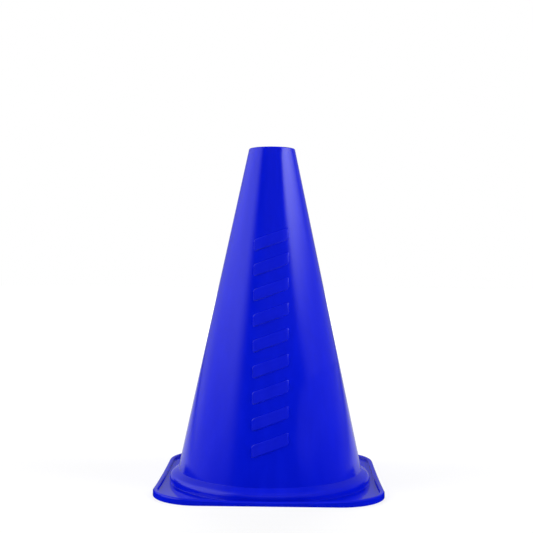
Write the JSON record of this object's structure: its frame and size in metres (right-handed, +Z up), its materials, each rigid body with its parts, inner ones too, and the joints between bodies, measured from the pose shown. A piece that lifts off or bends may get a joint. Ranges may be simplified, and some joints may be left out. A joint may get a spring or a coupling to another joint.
{
  "type": "sports marker cone",
  "caption": "Hollow tapered plastic marker cone on a square rimmed foot, with a stepped shoulder for stacking and an open mouth that takes a training pole.",
  "frame": {"origin": "centre of the underside of the square foot, on the floor", "axes": "+Z up the cone's axis towards the mouth; +X and +Y square to the sides of the foot; the picture looks along +Y"},
  "size_m": [0.1508, 0.1508, 0.23],
  "materials": {
    "blue_polyethylene": "satin-gloss moulded low-density polyethylene, deep saturated blue"
  },
  "bodies": {
    "root": {"mouth_ring": "blue_polyethylene", "cone_wall": "blue_polyethylene", "stacking_shoulder": "blue_polyethylene", "base_plate": "blue_polyethylene", "base_rim": "blue_polyethylene"}
  },
  "joints": []
}
